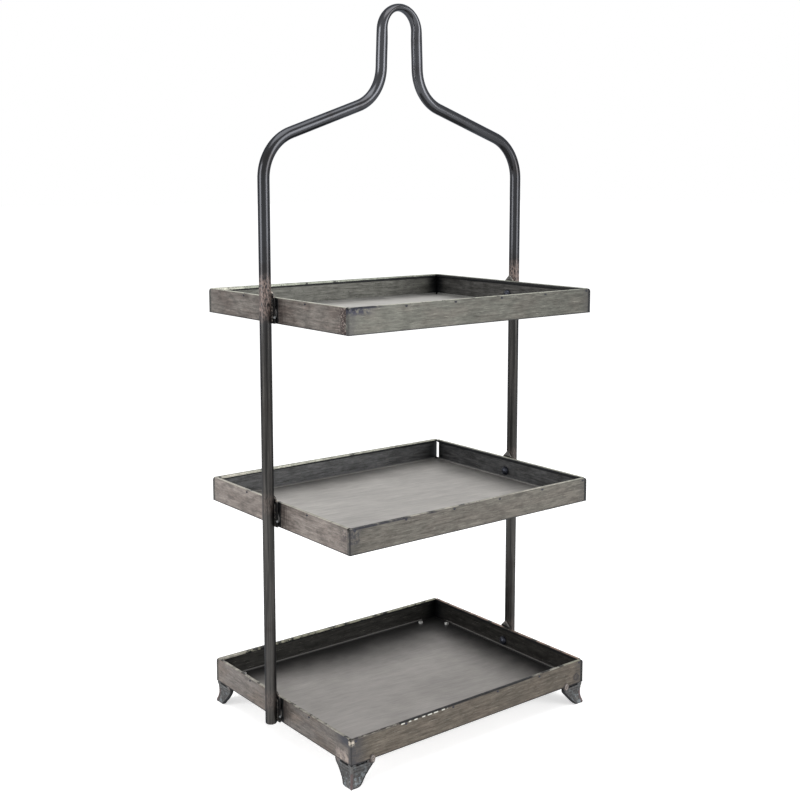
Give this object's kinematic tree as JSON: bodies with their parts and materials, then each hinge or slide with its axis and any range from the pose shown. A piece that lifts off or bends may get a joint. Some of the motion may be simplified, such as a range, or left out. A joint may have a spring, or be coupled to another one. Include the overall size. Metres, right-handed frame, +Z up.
{
  "type": "etagere",
  "caption": "Free-standing etagere: rectangular metal trays with folded rims, hung between the uprights of one bent tube that ends in a round carrying handle, on ogee corner feet.",
  "frame": {"origin": "on the floor, under the centre of the trays", "axes": "+Z up, +X along the long side of the trays towards the right-hand upright, +Y towards the back"},
  "size_m": [0.4638, 0.344, 1.0156],
  "materials": {
    "frame_tube": "dark graphite lacquer with a soft sheen, worn at the weld spots",
    "tray_floor": "aged galvanised sheet, warm grey, faint rolling marks",
    "tray_rim": "aged gunmetal sheet with horizontal brushing, pale worn hems and brown patina at the corners",
    "joint_bracket": "pale worn strip steel with rusty edges and a rough weld",
    "tray_bolt": "blue-black domed heads, satin",
    "joint_hardware": "plain zinc-plated steel",
    "foot": "dark grey casting with lighter rubbed edges",
    "foot_hardware": "dull zinc-plated steel"
  },
  "bodies": {
    "root": {"bottom_bracket_left": "joint_bracket", "bottom_bracket_right": "joint_bracket", "bottom_spacer_washers": "joint_hardware", "bottom_tray_bolts": "tray_bolt", "bottom_tray_floor": "tray_floor", "bottom_tray_rim_back": "tray_rim", "bottom_tray_rim_front": "tray_rim", "bottom_tray_rim_left": "tray_rim", "bottom_tray_rim_right": "tray_rim", "bottom_tube_nuts": "joint_hardware", "foot_back_left": "foot", "foot_back_right": "foot", "foot_front_left": "foot", "foot_front_right": "foot", "foot_nuts": "foot_hardware", "foot_screws": "foot_hardware", "frame_tube": "frame_tube", "middle_bracket_left": "joint_bracket", "middle_bracket_right": "joint_bracket", "middle_spacer_washers": "joint_hardware", "middle_tray_bolts": "tray_bolt", "middle_tray_floor": "tray_floor", "middle_tray_rim_back": "tray_rim", "middle_tray_rim_front": "tray_rim", "middle_tray_rim_left": "tray_rim", "middle_tray_rim_right": "tray_rim", "middle_tube_nuts": "joint_hardware", "top_bracket_left": "joint_bracket", "top_bracket_right": "joint_bracket", "top_spacer_washers": "joint_hardware", "top_tray_bolts": "tray_bolt", "top_tray_floor": "tray_floor", "top_tray_rim_back": "tray_rim", "top_tray_rim_front": "tray_rim", "top_tray_rim_left": "tray_rim", "top_tray_rim_right": "tray_rim", "top_tube_nuts": "joint_hardware", "tube_end_cap_left": "frame_tube", "tube_end_cap_right": "frame_tube"}
  },
  "joints": []
}
